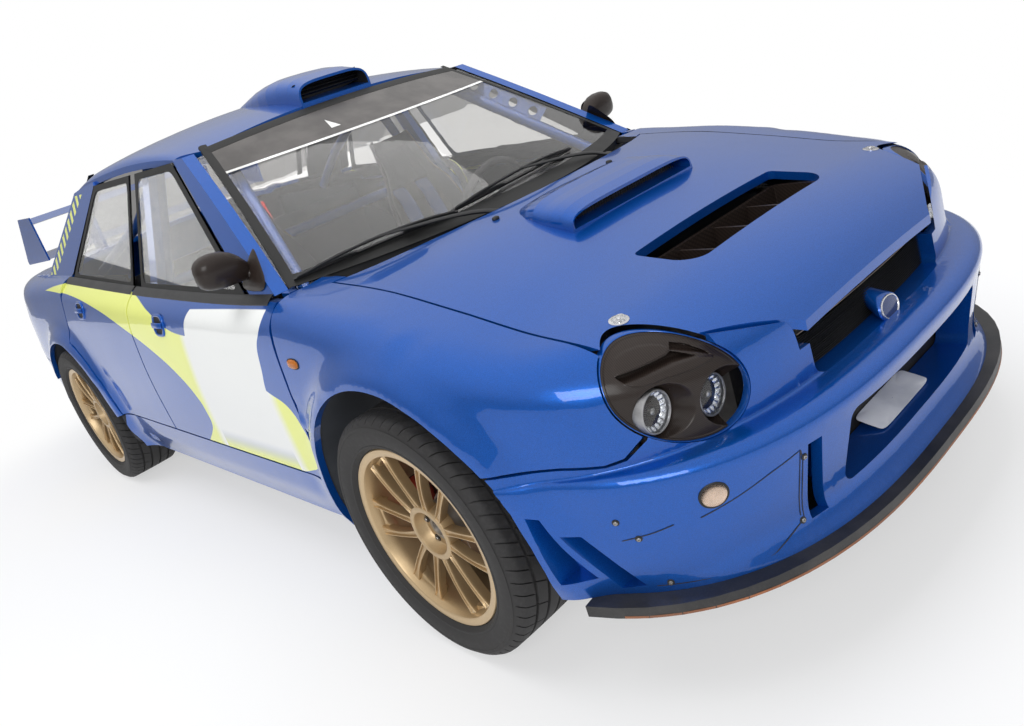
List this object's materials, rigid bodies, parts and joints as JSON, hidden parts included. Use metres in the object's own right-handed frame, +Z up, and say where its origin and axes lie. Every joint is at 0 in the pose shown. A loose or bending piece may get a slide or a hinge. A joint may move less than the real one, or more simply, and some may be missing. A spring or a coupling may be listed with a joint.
{
  "type": "rally car",
  "caption": "Four-door rally saloon with bonnet, boot and doors that open, steered front wheels, roll cage, roof scoop and rear wing.",
  "frame": {"origin": "on the ground under the middle of the car's length and width", "axes": "+X forward, +Y to the car's left, +Z up"},
  "size_m": [4.402, 1.769, 1.432],
  "materials": {
    "alloy": "cast",
    "black_trim": "matt",
    "cage_paint": "gloss",
    "carbon": "woven carbon, satin",
    "glass_clear": "clear",
    "glass_lamp": "red and clear lamp",
    "interior": "grained",
    "paint": "metallic gloss",
    "paint_white": "metallic gloss with pale panel",
    "seat_cloth": "woven",
    "steel": "machined",
    "tyre": "tread cut",
    "underbody": "stone guard",
    "wheel_gold": "champagne gold satin"
  },
  "bodies": {
    "chassis": {"floor_pan": "underbody", "sills": "paint", "front_bumper": "paint", "splitter": "black_trim", "grille": "black_trim", "front_fenders": "paint", "rear_quarters": "paint", "roof": "paint", "windscreen": "glass_clear", "rear_window": "glass_clear", "cowl": "black_trim", "wipers": "black_trim", "rear_bumper": "paint", "headlamps": "carbon", "tail_lamps": "glass_lamp", "dashboard": "interior", "seats": "seat_cloth", "roll_cage": "cage_paint", "steering_wheel": "interior", "engine_block": "alloy", "exhaust": "steel", "front_suspension": "steel", "rear_suspension": "steel"},
    "bonnet_lid": {"bonnet": "paint", "bonnet_duct": "carbon"},
    "boot": {"boot_lid": "paint", "rear_wing": "paint"},
    "steer_left": {"knuckle_left": "steel"},
    "steer_right": {"knuckle_right": "steel"},
    "wheel_front_left": {"rim_front_left": "wheel_gold", "tyre_front_left": "tyre"},
    "wheel_front_right": {"rim_front_right": "wheel_gold", "tyre_front_right": "tyre"},
    "wheel_rear_left": {"rim_rear_left": "wheel_gold", "tyre_rear_left": "tyre"},
    "wheel_rear_right": {"rim_rear_right": "wheel_gold", "tyre_rear_right": "tyre"},
    "front_door_left": {"door_front_left": "paint_white", "door_glass_front_left": "glass_clear", "mirror_left": "black_trim"},
    "front_door_right": {"door_front_right": "paint_white", "door_glass_front_right": "glass_clear", "mirror_right": "black_trim"},
    "rear_door_left": {"door_rear_left": "paint_white", "door_glass_rear_left": "glass_clear"},
    "rear_door_right": {"door_rear_right": "paint_white", "door_glass_rear_right": "glass_clear"}
  },
  "joints": [
    {"name": "steering_left", "type": "hinge", "parent": "chassis", "child": "steer_left", "pos_m": [1.35, 0.69, 0.325], "axis": [0, 0, 1], "range_deg": [-30, 30]},
    {"name": "steering_right", "type": "hinge", "parent": "chassis", "child": "steer_right", "pos_m": [1.35, -0.69, 0.325], "axis": [0, 0, 1], "range_deg": [-30, 30]},
    {"name": "wheel_front_left_spin", "type": "hinge", "parent": "steer_left", "child": "wheel_front_left", "pos_m": [1.35, 0.77, 0.325], "axis": [0, 1, 0], "continuous": true},
    {"name": "wheel_front_right_spin", "type": "hinge", "parent": "steer_right", "child": "wheel_front_right", "pos_m": [1.35, -0.77, 0.325], "axis": [0, 1, 0], "continuous": true},
    {"name": "wheel_rear_left_spin", "type": "hinge", "parent": "chassis", "child": "wheel_rear_left", "pos_m": [-1.185, 0.77, 0.325], "axis": [0, 1, 0], "continuous": true},
    {"name": "wheel_rear_right_spin", "type": "hinge", "parent": "chassis", "child": "wheel_rear_right", "pos_m": [-1.185, -0.77, 0.325], "axis": [0, 1, 0], "continuous": true},
    {"name": "front_door_left_hinge", "type": "hinge", "parent": "chassis", "child": "front_door_left", "pos_m": [0.927, 0.855, 0.6], "axis": [0, 0, -1], "range_deg": [0, 65]},
    {"name": "front_door_right_hinge", "type": "hinge", "parent": "chassis", "child": "front_door_right", "pos_m": [0.927, -0.855, 0.6], "axis": [0, 0, 1], "range_deg": [0, 65]},
    {"name": "rear_door_left_hinge", "type": "hinge", "parent": "chassis", "child": "rear_door_left", "pos_m": [-0.188, 0.85, 0.6], "axis": [0, 0, -1], "range_deg": [0, 65]},
    {"name": "rear_door_right_hinge", "type": "hinge", "parent": "chassis", "child": "rear_door_right", "pos_m": [-0.188, -0.85, 0.6], "axis": [0, 0, 1], "range_deg": [0, 65]},
    {"name": "bonnet_hinge", "type": "hinge", "parent": "chassis", "child": "bonnet_lid", "pos_m": [0.93, 0, 0.884], "axis": [0, -1, 0], "range_deg": [0, 60]},
    {"name": "boot_hinge", "type": "hinge", "parent": "chassis", "child": "boot", "pos_m": [-1.392, 0, 0.958], "axis": [0, 1, 0], "range_deg": [0, 60]}
  ],
  "couplings": [
    {"joint": "steering_right", "follows": "steering_left", "ratio": 1}
  ]
}
